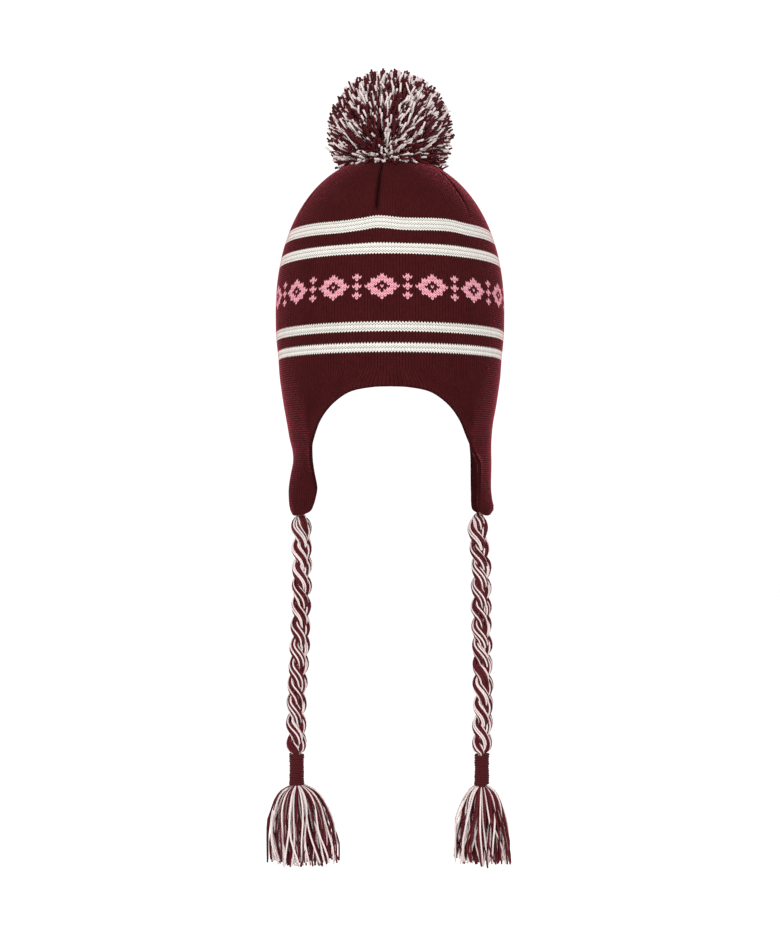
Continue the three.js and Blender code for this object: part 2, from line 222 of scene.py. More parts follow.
def dart_fold(turn, z, full=DART_FULL):
    """How deep the darts draw the cloth in. full is where they first have their whole depth."""
    spacing = 360 / DART_COUNT
    away = np.abs((turn - DART_TURN + spacing / 2) % spacing - spacing / 2)
    across = np.clip(1 - away / DART_HALF_WIDTH, 0, 1)
    share = z / CROWN_HEIGHT
    along = smoothstep(share, DART_FOOT, full)
    along = along * (1 - smoothstep(share, DART_TOP, 1))
    return DART_DEPTH * across * along


def surface(turn, z):
    """Points of the outer surface at turns in degrees from the centre front, and heights."""
    side = np.sin(np.radians(turn))
    ahead = np.cos(np.radians(turn))
    rise = np.clip((z - WIDEST_LEVEL) / (CROWN_HEIGHT - WIDEST_LEVEL), 0, 1)
    reach = (1 - rise ** DOME_FULLNESS) ** (1 / DOME_FULLNESS)
    reach = np.maximum(reach - dart_fold(turn, z) / (HAT_WIDTH / 2), 0)
    down = np.maximum(WIDEST_LEVEL - z, 0)

    def read(column):
        left = smooth_read(LEFT_TABLE, down, column)
        return np.where(side < 0, left, smooth_read(RIGHT_TABLE, down, column))

    curl = np.where(ahead > 0, read(3), read(4))
    width = np.where(z >= WIDEST_LEVEL, reach * np.abs(side), read(1) * (1 - curl * (1 - np.abs(side))))
    depth = np.where(z >= WIDEST_LEVEL, reach, read(2))
    return np.stack([
        np.sign(side) * width * HAT_WIDTH / 2,
        -depth * ahead * HAT_DEPTH / 2,
        z + 0 * turn,
    ], axis=-1)


def outward(turn, z):
    """The outward direction of the surface."""
    step = 0.4
    across = surface(turn + step, z) - surface(turn - step, z)
    up = surface(turn, np.minimum(z + step, CROWN_HEIGHT)) - surface(turn, z - step)
    way = np.cross(across, up)
    size = np.linalg.norm(way, axis=-1, keepdims=True)
    way = way / np.maximum(size, 1e-9)
    return np.where((z > CROWN_HEIGHT - 0.01)[..., None], np.array([0.0, 0.0, 1.0]), way)


def curve_through(points, count):
    """Evenly spaced points on a centripetal curve through the given ones."""
    points = np.array(points, float)
    padded = np.vstack([2 * points[0] - points[1], points, 2 * points[-1] - points[-2]])
    found = []
    for k in range(len(points) - 1):
        p0, p1, p2, p3 = padded[k:k + 4]
        gaps = [max(np.linalg.norm(b - a), 1e-6) ** 0.5 for a, b in ((p0, p1), (p1, p2), (p2, p3))]
        out = ((p1 - p0) / gaps[0] - (p2 - p0) / (gaps[0] + gaps[1]) + (p2 - p1) / gaps[1]) * gaps[1]
        into = ((p2 - p1) / gaps[1] - (p3 - p1) / (gaps[1] + gaps[2]) + (p3 - p2) / gaps[2]) * gaps[1]
        t = np.linspace(0, 1, 41)[:-1, None]
        rise = t * t * (3 - 2 * t)
        found.append(p1 * (1 - rise) + p2 * rise + out * t * (1 - t) ** 2 - into * t * t * (1 - t))
    found = np.vstack([*found, points[-1:]])
    run = np.concatenate([[0], np.cumsum(np.linalg.norm(np.diff(found, axis=0), axis=1))])
    places = np.linspace(0, run[-1], count)
    return np.stack([np.interp(places, run, found[:, k]) for k in range(found.shape[1])], axis=1)


def edge_line(at_back):
    """The cut edge of one quarter as evenly spaced pairs of distance round and height."""
    rows = []
    for drop, front_turn, back_turn in EDGE_ROWS:
        lift = BACK_RISE * (1 - drop) if at_back else 0
        turn = back_turn if at_back else front_turn
        rows.append((math.radians(turn) * HAT_WIDTH / 2, lift - FLAP_DROP * drop))
    return curve_through(rows, 401)


FRONT_EDGE = edge_line(False)
BACK_EDGE = edge_line(True)


def edge_places(turn):
    """Turn and height at the cut edge of the columns that start at these turns on the crown."""
    wrapped = (turn + 180) % 360 - 180
    away = np.abs(wrapped)
    at_back = away > 90
    share = np.where(at_back, 180 - away, away) / 90
    steps = np.linspace(0, 1, len(FRONT_EDGE))
    found = []
    for k in (0, 1):
        front = np.interp(share, steps, FRONT_EDGE[:, k])
        back = np.interp(share, steps, BACK_EDGE[:, k])
        found.append(np.where(at_back, back, front))
    edge_turn = np.degrees(found[0] / (HAT_WIDTH / 2))
    edge_turn = np.where(at_back, 180 - edge_turn, edge_turn)
    return np.where(wrapped >= 0, 1, -1) * edge_turn, found[1]


def flap_tip(turn):
    """The middle of the cloth at the tip of a flap."""
    edge_turn, z = edge_places(np.array([float(turn)]))
    return (surface(edge_turn, z) - outward(edge_turn, z) * CLOTH_THICKNESS / 2)[0]


# Yarns: round threads along paths, with their colour and the lay of their plies


def yarn_mesh(name, paths, colours, radius):
    """One mesh of yarns, with open seams at their caps. Each path has one linear colour."""
    sides = 6  # what a bevel resolution of 1 gives
    line = bpy.data.curves.new(name, "CURVE")
    line.dimensions = "3D"
    line.bevel_depth = radius * MM
    line.bevel_resolution = 1
    line.use_fill_caps = True
    for path in paths:
        spline = line.splines.new("POLY")
        spline.points.add(len(path) - 1)
        places = np.ones((len(path), 4))
        places[:, :3] = np.array(path) * MM
        spline.points.foreach_set("co", places.ravel())
    holder = bpy.data.objects.new(name, line)
    mesh = bpy.data.meshes.new_from_object(holder)
    bpy.data.objects.remove(holder)
    bpy.data.curves.remove(line)
    # Blender gives the end caps first, last yarn first, and then the tubes in order
    owner = []
    along = []
    for k in reversed(range(len(paths))):
        length = np.linalg.norm(np.diff(np.array(paths[k]), axis=0), axis=1).sum()
        owner.extend([k] * (2 * sides))
        along.extend([length] * sides + [0.0] * sides)
    for k, path in enumerate(paths):
        run = np.concatenate([[0], np.cumsum(np.linalg.norm(np.diff(np.array(path), axis=0), axis=1))])
        owner.extend([k] * (len(path) * sides))
        along.extend(np.repeat(run, sides))
    around = np.arange(len(owner)) % sides * (2 * math.pi / sides)
    ply = np.stack([np.cos(around), np.sin(around), np.array(along)], axis=1)
    tint = np.array(colours)[np.array(owner)]
    mesh.attributes.new("yarn_colour", "FLOAT_COLOR", "POINT").data.foreach_set("color", tint.ravel())
    mesh.attributes.new("ply", "FLOAT_VECTOR", "POINT").data.foreach_set("vector", ply.ravel())
    return mesh


def closed(mesh):
    """Joins the caps to their tubes and shades the whole mesh smooth."""
    bm = bmesh.new()
    bm.from_mesh(mesh)
    bmesh.ops.remove_doubles(bm, verts=bm.verts, dist=1e-6)
    bmesh.ops.recalc_face_normals(bm, faces=bm.faces)
    for face in bm.faces:
        face.smooth = True
    bm.to_mesh(mesh)
    bm.free()
    return mesh


def finished(name, mesh, material, node):
    """Puts a mesh into the scene as a piece that stands for a solid."""
    mesh.materials.clear()
    mesh.materials.append(material)
    piece = bpy.data.objects.new(name, mesh)
    bpy.context.scene.collection.objects.link(piece)
    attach(piece, "root")
    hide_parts(node)
    return piece


def yarn_piece(name, yarns, radius, material, node):
    """A finished piece of yarns, which come as a pair: their paths and their colours."""
    return finished(name, closed(yarn_mesh(name, *yarns, radius)), material, node)


# Materials


def add_node(tree, kind, *values, named=None, **settings):
    """Adds a node with its settings, and sets or links its inputs, given in order or by name."""
    made = tree.nodes.new("ShaderNode" + kind)
    for name, setting in settings.items():
        setattr(made, name, setting)
    for key, value in [*enumerate(values), *(named or {}).items()]:
        if isinstance(value, bpy.types.Node):
            value = value.outputs[0]
        if isinstance(value, bpy.types.NodeSocket):
            tree.links.new(value, made.inputs[key])
        else:
            made.inputs[key].default_value = value
    return made


def new_material(name):
    material = bpy.data.materials.new(name)
    material.use_nodes = True
    material.node_tree.nodes.clear()
    return material, material.node_tree


def end_material(tree, tint, depth, strength, distance, height, fibre):
    """Darkens the yarn's colour by depth, its painted shade and uneven tone, raises it by height and
    gives it its fibre's shine.
    """
    grey = add_node(tree, "CombineColor", depth, depth, depth)
    mixed = {0: 1.0, 6: tint.outputs["Color"], 7: grey}
    colour = add_node(tree, "Mix", named=mixed, data_type="RGBA", blend_type="MULTIPLY")
    raised = {"Strength": strength, "Distance": distance, "Height": height}
    relief = add_node(tree, "Bump", named=raised)
    looks = {"Base Color": colour.outputs[2], "Normal": relief, **fibre}
    add_node(tree, "OutputMaterial", add_node(tree, "BsdfPrincipled", named=looks))


# Shine of the fibres of a loose yarn, and of the knitted cloth with its red haze at the sides
YARN_FIBRE = {
    "Roughness": 0.9,
    "Specular IOR Level": 0.06,
    "Sheen Weight": 0.12,
    "Sheen Roughness": 0.25,
    "Sheen Tint": (1.0, 0.5, 0.52, 1.0),
}
KNIT_FIBRE = {
    "Roughness": 0.95,
    "Specular IOR Level": 0.02,
    "Sheen Weight": 0.65,
    "Sheen Roughness": 0.2,
    "Sheen Tint": (1.0, 0.17, 0.24, 1.0),
}


def acrylic_yarn(name, bump):
    """Three-ply spun acrylic: soft and dull, with a haze of fibres, and the groove between its plies in
    relief and painted shade.
    """
    material, tree = new_material(name)
    tint = add_node(tree, "Attribute", attribute_name="yarn_colour")
    lay = add_node(tree, "Attribute", attribute_name="ply")
    parts = add_node(tree, "SeparateXYZ", lay.outputs["Vector"])
    angle = add_node(tree, "Math", parts.outputs["Y"], parts.outputs["X"], operation="ARCTAN2")
    # Half of three plies' phase: 1.5 times the angle less 1.5 turns for each pitch of length
    spun = add_node(tree, "Math", parts.outputs["Z"], -3 * math.pi / PLY_PITCH, operation="MULTIPLY")
    phase = add_node(tree, "Math", angle, 1.5, spun, operation="MULTIPLY_ADD")
    wave = add_node(tree, "Math", phase, operation="SINE")
    plies = add_node(tree, "Math", wave, operation="ABSOLUTE")
    place = add_node(tree, "TexCoord").outputs["Object"]
    # Fibres, 0.6 mm
    lint = add_node(tree, "TexNoise", named={"Vector": place, "Scale": 1600.0, "Detail": 2.0})
    # The groove between the plies is painted shade: the colour keeps 0.62 of its light there
    shade = add_node(tree, "MapRange", plies, 0.0, 0.7, 0.62, 1.0)
    fleck = add_node(tree, "MapRange", lint, 0.3, 0.7, 0.84, 1.08)
    depth = add_node(tree, "Math", shade, fleck, operation="MULTIPLY")
    height = add_node(tree, "Math", lint, 0.4, plies, operation="MULTIPLY_ADD")
    end_material(tree, tint, depth, bump, 0.0004, height, YARN_FIBRE)
    return material


# What goes with the colour of the knitted yarn, mostly how deep the shade painted into its
# stitches is: a number for burgundy and one for white. Light passes through pale yarn, so its
# grooves hardly show, and its holes and courses do
BURGUNDY_BRIGHTNESS = 0.05
WHITE_BRIGHTNESS = 0.7
KNIT_BY_COLOUR = {
    "groove": (1.0, 0.4),
    "hole": (1.1, 4.2),
    "course": (0.2, 0.75),
    "second_course": (0.0, 0.55),  # sinks in a little, as over a two-colour back: painted shade
    "shade": (1.1, 1.15),
    "spread": (1.0, 0.35),  # pale yarn looks more even from one stitch to the next
}


def acrylic_knit():
    """Stocking-stitch acrylic: columns of V-shaped stitches with painted shade in the grooves between
    them.
    """
    material, tree = new_material("acrylic_stocking_stitch")
    tint = add_node(tree, "Attribute", attribute_name="yarn_colour")
    stitches = add_node(tree, "UVMap", uv_map="stitches")
    parts = add_node(tree, "SeparateXYZ", stitches)
    brightness = (tint.outputs["Fac"], BURGUNDY_BRIGHTNESS, WHITE_BRIGHTNESS)
    own = {key: add_node(tree, "MapRange", *brightness, *pair) for key, pair in KNIT_BY_COLOUR.items()}
    # Across a column of stitches: 0 in its middle and 0.5 in the groove beside it
    wale = add_node(tree, "Math", parts.outputs["X"], operation="FRACT")
    offset = add_node(tree, "Math", wale, 0.5, operation="SUBTRACT")
    half = add_node(tree, "Math", offset, operation="ABSOLUTE")
    smooth = "SMOOTHSTEP"
    groove = add_node(tree, "MapRange", half, 0.26, 0.5, 0.0, 0.85, interpolation_type=smooth)
    crotch = add_node(tree, "MapRange", half, 0.0, 0.16, 1.0, 0.0, interpolation_type=smooth)
    # Along it: 1 where one course slips into the next, and 0 at the middle of a leg
    turns = add_node(tree, "Math", parts.outputs["Y"], math.pi, operation="MULTIPLY")
    course_wave = add_node(tree, "Math", turns, operation="COSINE")
    joint = add_node(tree, "Math", course_wave, 4.0, operation="POWER")
    # The painted shade of the grooves between columns, the holes inside the Vs and the lines
    # between courses adds up
    valley = add_node(tree, "Math", groove, own["groove"], operation="MULTIPLY")
    hole = add_node(tree, "Math", crotch, joint, operation="MULTIPLY")
    lines = add_node(tree, "Math", hole, own["hole"], valley, operation="MULTIPLY_ADD")
    hollow = add_node(tree, "Math", joint, own["course"], lines, operation="MULTIPLY_ADD")
    # 1 at every second joint and -1 at those between
    second = add_node(tree, "Math", joint, course_wave, operation="MULTIPLY")
    hollow = add_node(tree, "Math", second, own["second_course"], hollow, operation="MULTIPLY_ADD")
    # Each leg takes the light a little differently
    legs = add_node(tree, "VectorMath", stitches, (2.0, 1.0, 1.0), operation="MULTIPLY")
    leg = add_node(tree, "VectorMath", legs, operation="FLOOR")
    dice = add_node(tree, "TexWhiteNoise", leg, noise_dimensions="2D")
    place = add_node(tree, "TexCoord").outputs["Object"]
    # Fibres, 0.7 mm, and uneven dyeing and tension, 14 mm
    lint = add_node(tree, "TexNoise", named={"Vector": place, "Scale": 1400.0, "Detail": 2.0})
    uneven = add_node(tree, "TexNoise", named={"Vector": place, "Scale": 70.0, "Detail": 3.0})
    # Painted shade: the colour keeps all its light on the legs and 0.27 of it in the deepest hollows
    dark = add_node(tree, "MapRange", hollow, 0.0, 1.25, 1.0, 0.27)
    each = add_node(tree, "MapRange", dice.outputs["Value"], 0.0, 1.0, 0.84, 1.1)
    fleck = add_node(tree, "MapRange", lint, 0.3, 0.7, 0.88, 1.1)
    drift = add_node(tree, "MapRange", uneven, 0.3, 0.7, 0.92, 1.06)
    tone = add_node(tree, "Math", each, fleck, operation="MULTIPLY")
    varied = add_node(tree, "Math", tone, drift, operation="MULTIPLY")
    shade = add_node(tree, "Math", dark, own["shade"], operation="POWER")
    spread = add_node(tree, "Math", varied, own["spread"], operation="POWER")
    depth = add_node(tree, "Math", shade, spread, operation="MULTIPLY")
    height = add_node(tree, "Math", lint, 0.3, shade, operation="MULTIPLY_ADD")
    # The attribute's alpha says where the stitches stand out: not on the rolled edge
    stands = add_node(tree, "Math", tint.outputs["Alpha"], 0.45, operation="MULTIPLY")
    end_material(tree, tint, depth, stands, 0.0005, height, KNIT_FIBRE)
    return material


# Ties: plait, wrap and tassel, hung one under the other

PLAIT_PERIOD = 47.0  # length in which a strand comes back to the same side
PLAIT_SWING = 3.9  # how far a strand's middle goes to each side
PLAIT_WEAVE = 2.3  # how far it goes to the front and the back
STRAND_RADIUS = 3.95
STRAND_TWIST = -0.1  # radians that a strand's own yarns turn round it in 1 mm
PLAIT_YARN_RADIUS = 0.7
STRAND_YARNS = ["bwbwbbwbwwbbwbw", "bbwwbbbbwbbwbbw", "wbwbbwbwbbwwbbw"]  # round the outside
STRAND_CORE = 4  # burgundy yarns inside each strand
DRAWN_IN_AT_TOP = 0.25  # share by which the flap's edge and the wrap draw a plait in, and how far
DRAWN_IN_BELOW = 5.0
DRAWN_IN_AT_FOOT = 0.5
DRAWN_IN_ABOVE = 4.5
TIE_SPACING = 1.8  # between the points of a plait's path


def tie_line(turn, route, spacing):
    """The middle of a plait, from the tip of its flap down."""
    start = flap_tip(turn) - np.array([0, 0, SEAT_GAP])
    points = np.array(route) + start
    length = np.linalg.norm(np.diff(points, axis=0), axis=1).sum()
    return curve_through(points, int(length / spacing) + 1)


def plait_paths(line, lay_turn, seed):
    """Paths and colours of the yarns of three tightly plaited strands round a line."""
    chance = np.random.default_rng(seed)
    run = np.concatenate([[0], np.cumsum(np.linalg.norm(np.diff(line, axis=0), axis=1))])
    flat = np.array([math.cos(lay_turn), math.sin(lay_turn), 0.0])
    thick = np.array([-math.sin(lay_turn), math.cos(lay_turn), 0.0])
    at_top = 1 - smoothstep(run, 0, DRAWN_IN_BELOW)
    at_foot = smoothstep(run, run[-1] - DRAWN_IN_ABOVE, run[-1])
    drawn_in = (1 - DRAWN_IN_AT_TOP * at_top - DRAWN_IN_AT_FOOT * at_foot)[:, None]
    paths = []
    colours = []
    for strand, yarns in enumerate(STRAND_YARNS):
        # No two lobes are quite as long, and a strand crosses straight from side to side
        uneven = 0.15 * np.sin(run / 19 + 2.1 * strand)
        phase = 2 * math.pi * (run / PLAIT_PERIOD + strand / 3) + seed + uneven
        swing = PLAIT_SWING * (np.sin(phase) - 0.09 * np.sin(3 * phase))[:, None] * flat
        weave = PLAIT_WEAVE * np.sin(2 * phase)[:, None] * thick
        middle = line + (swing + weave) * drawn_in
        way = np.gradient(middle, axis=0)
        way /= np.linalg.norm(way, axis=1, keepdims=True)
        across = flat - (way @ flat)[:, None] * way
        across /= np.linalg.norm(across, axis=1, keepdims=True)
        front = np.cross(way, across)
        places = [(1.0, k / len(yarns), kind) for k, kind in enumerate(yarns)]
        places += [(0.5, k / STRAND_CORE, "b") for k in range(STRAND_CORE)]
        for reach, share, kind in places:
            # The yarns wander a little round their strand, and in and out
            angle = 2 * math.pi * (share + 0.02 * chance.random()) + STRAND_TWIST * run
            angle = angle + 0.1 * np.sin(run / (4 + 4 * chance.random()) + 6 * chance.random())
            wander = 0.25 * np.sin(run / (3 + 4 * chance.random()) + 6 * chance.random())
            away = STRAND_RADIUS * reach + wander
            side = (away * np.cos(angle))[:, None] * across + (away * np.sin(angle))[:, None] * front
            path = middle + side * drawn_in
            # Its ends go into the flap and into the wrap
            top = line[0] + (path[0] - line[0]) * 0.7 + np.array([0, 0, 1.6])
            foot = path[-1] + np.array([0, 0, -4.0])
            paths.append(np.vstack([top, path, foot]))
            colours.append(TIE_BURGUNDY if kind == "b" else TIE_WHITE)
    return paths, colours


WRAP_TURNS = 13
WRAP_STEPS = 14  # points in a turn
WRAP_YARN_RADIUS = 1.05
WRAP_WAIST = 0.3  # how much tighter its middle is wound


def wound_paths(top, seed):
    """The path and the colour of the one yarn that is wound round the end of a plait."""
    chance = np.random.default_rng(seed)
    steps = WRAP_TURNS * WRAP_STEPS
    share = np.linspace(0, 1, steps + 1)
    angle = 2 * math.pi * WRAP_TURNS * share + seed
    wander = np.convolve(chance.normal(0, 0.35, steps + 9), np.ones(9) / 9, "valid")
    reach = WRAP_RADIUS - WRAP_YARN_RADIUS + wander - WRAP_WAIST * np.sin(math.pi * share)
    level = -0.8 - (WRAP_LENGTH - 1.4) * share + 0.5 * wander
    path = np.stack([reach * np.cos(angle), reach * np.sin(angle), level], axis=1) + top
    return [path], [YARN_BURGUNDY]


# One yarn of a tassel: share of the length, then share of half the width
TASSEL_FLARE = np.array([
    (0.0, 0.1), (0.04, 0.15), (0.07, 0.34), (0.11, 0.5), (0.18, 0.65), (0.3, 0.79), (0.5, 0.91),
    (0.76, 0.99), (1.0, 0.97),
])
TASSEL_SHARES = np.array([0, 0.035, 0.07, 0.11, 0.16, 0.24, 0.34, 0.45, 0.56, 0.67, 0.78, 0.89, 1])
TASSEL_STRANDS = 230
TASSEL_YARN_RADIUS = 0.72
TASSEL_INNER = 0.4  # share of its yarns that lie inside
TASSEL_INNER_LIGHT = 0.2  # share of those that are white
TASSEL_FLIPS = 0.3  # share of the outer yarns that break the turns of the two colours
TASSEL_WAVE = 2.1
TASSEL_CROSSING = 4.0  # how far a cut end may lie to the side of its place
TASSEL_START = 3.0  # how far up inside the wrap a yarn starts


def tassel_paths(top, half_width, lean, seed):
    """Paths and colours of the cut yarns that hang out of a wrap."""
    chance = np.random.default_rng(seed)
    share = TASSEL_SHARES
    angles = GOLDEN_ANGLE * np.arange(TASSEL_STRANDS) + chance.normal(0, 0.1, TASSEL_STRANDS)
    angles = angles % (2 * math.pi)
    # Round the outside the two colours take turns, and inside most yarns are burgundy
    outer = int(TASSEL_INNER * TASSEL_STRANDS)
    turns = np.argsort(np.argsort(angles[outer:]))
    light = chance.random(TASSEL_STRANDS) < TASSEL_INNER_LIGHT
    light[outer:] = (turns % 2 == 0) ^ (chance.random(TASSEL_STRANDS - outer) < TASSEL_FLIPS)
    paths = []
    colours = []
    for k, angle in enumerate(angles):
        spread = math.sqrt((k + 0.7) / TASSEL_STRANDS) * (0.9 + 0.12 * chance.random())
        near = 0.5 - 0.5 * math.sin(angle) * spread
        length = (TASSEL_LENGTH - 1 - 3.5 * near) * (0.88 + 0.12 * chance.random() ** 0.6)
        out = smooth_read(TASSEL_FLARE, share, 1) * spread * (half_width - TASSEL_YARN_RADIUS)
        # Each yarn hangs in its own slack wave and crosses its neighbours, more towards its cut end
        size = chance.normal(0, TASSEL_WAVE, (2, 3))
        phase = 6.3 * chance.random((2, 3))
        waves = [0, 0]
        for a in range(2):
            for b in range(3):
                swing = np.sin((b + 1.5) * 2.2 * share + phase[a, b]) - math.sin(phase[a, b])
                waves[a] = waves[a] + size[a, b] * swing / (b + 1)
        waves[0] = waves[0] + chance.normal(0, TASSEL_CROSSING) * share ** 2
        slack = smoothstep(share, 0, 0.8)
        side = out * math.cos(angle) + lean * share ** 0.6 + waves[0] * slack
        side = np.clip(side, lean + 0.6 - half_width, half_width + lean - 0.6)
        deep = out * math.sin(angle) + waves[1] * slack
        level = TASSEL_START - (length + TASSEL_START) * share
        paths.append(np.stack([side, deep, level], axis=1) + top)
        colours.append(TIE_WHITE if light[k] else TIE_BURGUNDY)
    return paths, colours


def build_tie(side, turn, route, half_width, lean, lay_turn, seed):
    """One tie: a plait on its route, with its wrap and its tassel on it."""
    line = tie_line(turn, route, TIE_SPACING)
    plait = yarn_piece(
        f"plait_{side}", plait_paths(line, lay_turn, seed), PLAIT_YARN_RADIUS,
        PLAIT_YARN, f"braid_{side}",
    )
    wrap_top = line[-1] - np.array([0, 0, SEAT_GAP])
    wrap = yarn_piece(
        f"wound_yarn_{side}", wound_paths(wrap_top, seed), WRAP_YARN_RADIUS,
        WRAP_YARN, f"wrap_{side}",
    )
    tassel_top = wrap_top - np.array([0, 0, WRAP_LENGTH + SEAT_GAP])
    tassel = yarn_piece(
        f"tassel_yarn_{side}", tassel_paths(tassel_top, half_width, lean, seed), TASSEL_YARN_RADIUS,
        TASSEL_YARN, f"tassel_{side}",
    )


# Pompom: cut yarns that fan out from the tie at its foot and rest on the crown

POMPOM_STRANDS = 6600
POMPOM_TIE = np.array([-5.0, -24.0, 180.0])
POMPOM_CLUMPS = 4400
POMPOM_YARN_RADIUS = 0.8
POMPOM_LIGHT = 0.31  # share of its tufts that are white
POMPOM_FLIPS = 0.14  # share of its yarns that differ from their tuft
POMPOM_RAGGED = 13  # how far the shortest yarns end under the longest
POMPOM_STAND = 14  # length of a yarn that is built, up to its cut end
POMPOM_DROOP = 4
POMPOM_SUNK = 7  # a yarn that would end deeper in the crown isn't built


def crown_level(x, y):
    """Height of the crown's outer surface over a point."""
    reach = np.sqrt((x / (HAT_WIDTH / 2)) ** 2 + (y / (HAT_DEPTH / 2)) ** 2)
    reach = np.minimum(reach, 1)
    rise = (1 - reach ** DOME_FULLNESS) ** (1 / DOME_FULLNESS)
    return WIDEST_LEVEL + (CROWN_HEIGHT - WIDEST_LEVEL) * rise


def ball_directions(count, phase):
    """Directions spread evenly over a ball."""
    k = np.arange(count)
    level = 1 - 2 * (k + 0.5) / count
    ring = np.sqrt(1 - level ** 2)
    angle = GOLDEN_ANGLE * k + phase
    return np.stack([ring * np.cos(angle), ring * np.sin(angle), level], axis=1)


def pompom_paths(seed):
    """Paths and colours of the cut yarns of the ball."""
    chance = np.random.default_rng(seed)
    ways = ball_directions(POMPOM_STRANDS, 0.0)
    ways += chance.normal(0, 0.03, ways.shape)
    ways /= np.linalg.norm(ways, axis=1, keepdims=True)
    # A few yarns that lie together were cut from one length, so they have one colour
    clumps = ball_directions(POMPOM_CLUMPS, 1.0) + chance.normal(0, 0.02, (POMPOM_CLUMPS, 3))
    clumps /= np.linalg.norm(clumps, axis=1, keepdims=True)
    clump_light = chance.random(POMPOM_CLUMPS) < POMPOM_LIGHT
    light = clump_light[np.argmax(ways @ clumps.T, axis=1)]
    light ^= chance.random(POMPOM_STRANDS) < POMPOM_FLIPS
    paths = []
    colours = []
    for way, pale in zip(ways, light):
        short = POMPOM_RAGGED * chance.random() ** 1.6
        reach = POMPOM_RADIUS - 0.4 - 2 * max(way[2], 0) - short
        end = POMPOM_CENTRE + way * reach + chance.normal(0, 1.0, 3)
        # The lowest yarns droop, and those in front and behind lie out over the crown
        end[1] *= 1 + 0.34 * smoothstep(-end[2], -194.0, -178.0)
        end[2] -= POMPOM_DROOP * smoothstep(-way[2], 0.1, 0.6)
        if end[2] < crown_level(end[0], end[1]) - POMPOM_SUNK:
            continue
        # Yarns in front fan out from a point in front of the middle, and those behind from one behind
        tie = POMPOM_TIE * np.array([1, 1 - 1.6 * smoothstep(way[1], -0.3, 0.7), 1])
        fan = end - tie
        foot = max(0.25, 1 - POMPOM_STAND / np.linalg.norm(fan))
        start = tie + fan * foot + chance.normal(0, 2.4, 3)
        bow = np.cross(fan / np.linalg.norm(fan), chance.normal(0, 1, 3)) * 1.6
        share = np.array([0.0, 0.55, 1.0])[:, None]
        path = start + (end - start) * share + bow * np.sin(math.pi * share * 0.8)
        floor = crown_level(path[:, 0], path[:, 1]) + POMPOM_YARN_RADIUS + 0.5
        path[:, 2] = np.maximum(path[:, 2], floor)
        paths.append(path)
        colours.append(YARN_WHITE if pale else YARN_BURGUNDY)
    return paths, colours


def build_pompom():
    yarns = pompom_paths(11)
    yarn_piece("pompom_yarn_ends", yarns, POMPOM_YARN_RADIUS, POMPOM_YARN, "pompom")


# Knitted cloth: one grid of half stitches, laid over the crown, the brim and the flaps, round
# the cut edge and up the inside

CAP_ROWS = 4  # coarse rows under the pompom
CAP_REACH = 26.0
FLAP_ROWS = 30
EDGE_DEPTHS = [0.16, 0.5, 0.84]  # rows round the cut edge, as shares of the cloth's thickness
INNER_FLAP_ROWS = [1.0, 0.85, 0.7, 0.55, 0.4, 0.27, 0.13, 0.0]
INNER_LEVELS = {64.5, 83.0, 140, 155, 167, 176, 182, 185.5, CROWN_HEIGHT}
INNER_BAND = (64, 84)  # levels between which the floats of the band show inside
ROLL = 0.42 * CLOTH_THICKNESS  # how far before the cut edge its roll begins
WALE_RISE = 0.22  # how far the middle of a column of stitches stands out
WALE_SINK = 0.2  # and how far the groove beside it sinks in
# Share of its colour that the rolled edge keeps, as painted shade
HEM_SHADE = 0.7
FOLD_SHADE = 0.85  # how much light the bottom of a dart's fold loses, painted as shade into its colour
HEM_STITCHES = 0.1  # how much the stitches stand out on the rolled edge


def dome_run():
    """Heights down the crown from its top, and how far down the cloth each one lies."""
    angle = np.radians(np.linspace(90, 0, 400))
    z = WIDEST_LEVEL + (CROWN_HEIGHT - WIDEST_LEVEL) * np.sin(angle) ** (2 / DOME_FULLNESS)
    reach = np.cos(angle) ** (2 / DOME_FULLNESS)
    skirt_z = np.linspace(WIDEST_LEVEL, SKEW_LEVEL, 40)[1:]
    skirt_reach = smooth_read(LEFT_TABLE, WIDEST_LEVEL - skirt_z, 1)
    z = np.concatenate([z, skirt_z])
    reach = np.concatenate([reach, skirt_reach]) * (HAT_WIDTH + HAT_DEPTH) / 4
    run = np.concatenate([[0], np.cumsum(np.hypot(np.diff(z), np.diff(reach)))])
    return z, run


def in_stripe(level):
    return any(low < level < high for low, high in STRIPES)


def yarn_at(wale, level, course_from_foot):
    """The colour of a stitch leg."""
    if in_stripe(level):
        return OFF_WHITE
    row = len(BAND_CHART) - 1 - course_from_foot
    if 0 <= row < len(BAND_CHART) and BAND_CHART[row][wale % len(BAND_CHART[0])] == "#":
        return PINK
    return BURGUNDY


def cloth_rows():
    """For every row of the grid: (kind, where), from the top of the dome to the inside of the top."""
    level, run = dome_run()
    total = run[-1]
    courses = int((total - CAP_REACH) / COURSE)
    rows = [("crown", total - (total - courses * COURSE) * k / CAP_ROWS) for k in range(CAP_ROWS)]
    rows += [("crown", k * COURSE) for k in range(courses, 0, -1)]
    rows += [("flap", k / FLAP_ROWS) for k in range(FLAP_ROWS + 1)]
    rows += [("edge", deep) for deep in EDGE_DEPTHS]
    rows += [("inner flap", share) for share in INNER_FLAP_ROWS]
    stripe_levels = {z for stripe in STRIPES for z in stripe}
    rows += [("inner crown", z) for z in sorted(stripe_levels | INNER_LEVELS)]
    return rows, level, run


